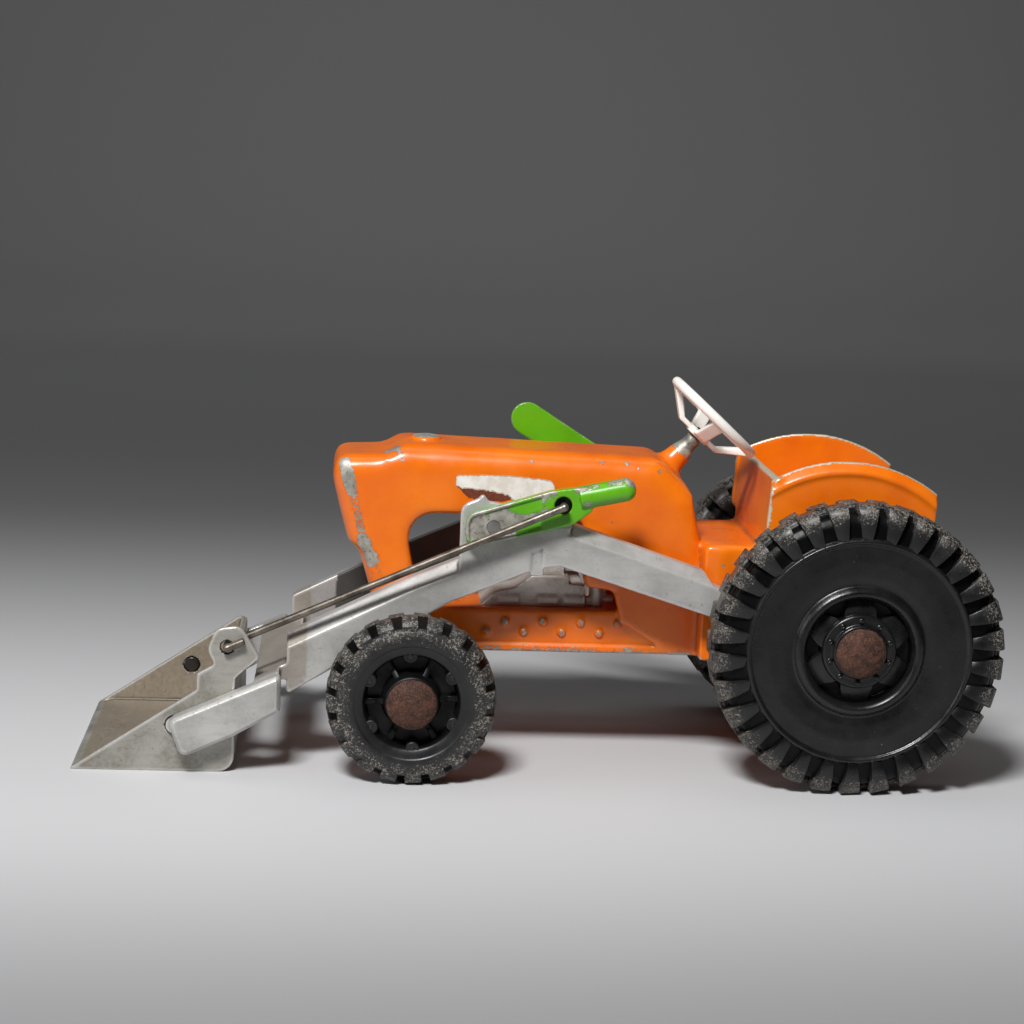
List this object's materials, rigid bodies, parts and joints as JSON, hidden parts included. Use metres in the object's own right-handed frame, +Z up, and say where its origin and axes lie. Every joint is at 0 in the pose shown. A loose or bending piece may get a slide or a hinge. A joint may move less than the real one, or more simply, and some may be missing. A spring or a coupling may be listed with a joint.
{
  "type": "toy front loader tractor",
  "caption": "Die-cast toy farm tractor with a lever-worked front loader: arms lift, bucket tips through a steel rod, wheels and steering wheel turn.",
  "frame": {"origin": "on the ground, at the centre of the toy's bounding box; the rear axle is 100.25 mm behind it", "axes": "-X points forwards to the bucket, +X to the rear wheels, -Y is the toy's left side, +Z is up"},
  "size_m": [0.2944, 0.121, 0.1261],
  "materials": {
    "orange_paint": "glossy enamel, chipped to bare metal on the edges",
    "green_paint": "glossy enamel, worn to bare metal",
    "bare_aluminium": "dull die-cast surface",
    "white_plastic": "satin, slightly yellowed",
    "black_tyre": "moulded black rubber with dusty tread",
    "rusty_steel": "evenly rusted",
    "steel_wire": "dark, lightly rusted",
    "rivet_steel": "dull",
    "paper": "matte torn paper"
  },
  "bodies": {
    "tractor": {"body_casting": "orange_paint", "hood_label": "paper", "engine_block": "bare_aluminium", "engine_rivet": "rivet_steel"},
    "steering": {"steering_wheel": "white_plastic"},
    "rear_axle_set": {"rear_axle": "steel_wire", "rear_axle_cap_left": "rusty_steel", "rear_axle_cap_right": "rusty_steel"},
    "front_axle_set": {"front_axle": "steel_wire", "front_axle_cap_left": "rusty_steel", "front_axle_cap_right": "rusty_steel"},
    "rear_left": {"rear_wheel_left": "black_tyre"},
    "rear_right": {"rear_wheel_right": "black_tyre"},
    "front_left": {"front_wheel_left": "black_tyre"},
    "front_right": {"front_wheel_right": "black_tyre"},
    "loader": {"loader_frame": "bare_aluminium", "lift_lever": "green_paint", "lift_lever_rivet": "rivet_steel", "tilt_lever_pin": "rivet_steel"},
    "lever": {"tilt_lever": "green_paint"},
    "scoop": {"bucket": "bare_aluminium"},
    "rod": {"tilt_rod": "steel_wire"}
  },
  "joints": [
    {"name": "loader_lift", "type": "hinge", "parent": "tractor", "child": "loader", "pos_m": [0.10025, 0, 0.047], "axis": [0, 1, 0], "range_deg": [0, 28]},
    {"name": "lever_swing", "type": "hinge", "parent": "loader", "child": "lever", "pos_m": [-0.01575, -0.0381, 0.081], "axis": [0, -1, 0], "range_deg": [0, 110]},
    {"name": "bucket_tilt", "type": "hinge", "parent": "loader", "child": "scoop", "pos_m": [-0.11475, 0, 0.0152], "axis": [0, -1, 0], "range_deg": [0, 62.64]},
    {"name": "rod_swing", "type": "hinge", "parent": "scoop", "child": "rod", "pos_m": [-0.09855, -0.0405, 0.0407], "axis": [0, -1, 0], "range_deg": [-57.22, 0]},
    {"name": "steering_turn", "type": "hinge", "parent": "tractor", "child": "steering", "pos_m": [0.05875, 0, 0.1131], "axis": [0.6691, 0, 0.7431], "continuous": true},
    {"name": "rear_axle_turn", "type": "hinge", "parent": "tractor", "child": "rear_axle_set", "pos_m": [0.10025, 0, 0.047], "axis": [0, 1, 0], "continuous": true},
    {"name": "front_axle_turn", "type": "hinge", "parent": "tractor", "child": "front_axle_set", "pos_m": [-0.04025, 0, 0.027], "axis": [0, 1, 0], "continuous": true},
    {"name": "rear_left_turn", "type": "hinge", "parent": "rear_axle_set", "child": "rear_left", "pos_m": [0.10025, -0.048, 0.047], "axis": [0, 1, 0], "continuous": true},
    {"name": "rear_right_turn", "type": "hinge", "parent": "rear_axle_set", "child": "rear_right", "pos_m": [0.10025, 0.048, 0.047], "axis": [0, 1, 0], "continuous": true},
    {"name": "front_left_turn", "type": "hinge", "parent": "front_axle_set", "child": "front_left", "pos_m": [-0.04025, -0.047, 0.027], "axis": [0, 1, 0], "continuous": true},
    {"name": "front_right_turn", "type": "hinge", "parent": "front_axle_set", "child": "front_right", "pos_m": [-0.04025, 0.047, 0.027], "axis": [0, 1, 0], "continuous": true}
  ],
  "couplings": [
    {"joint": "bucket_tilt", "follows": "lever_swing", "ratio": 0.56939},
    {"joint": "rod_swing", "follows": "lever_swing", "ratio": -0.52006}
  ]
}
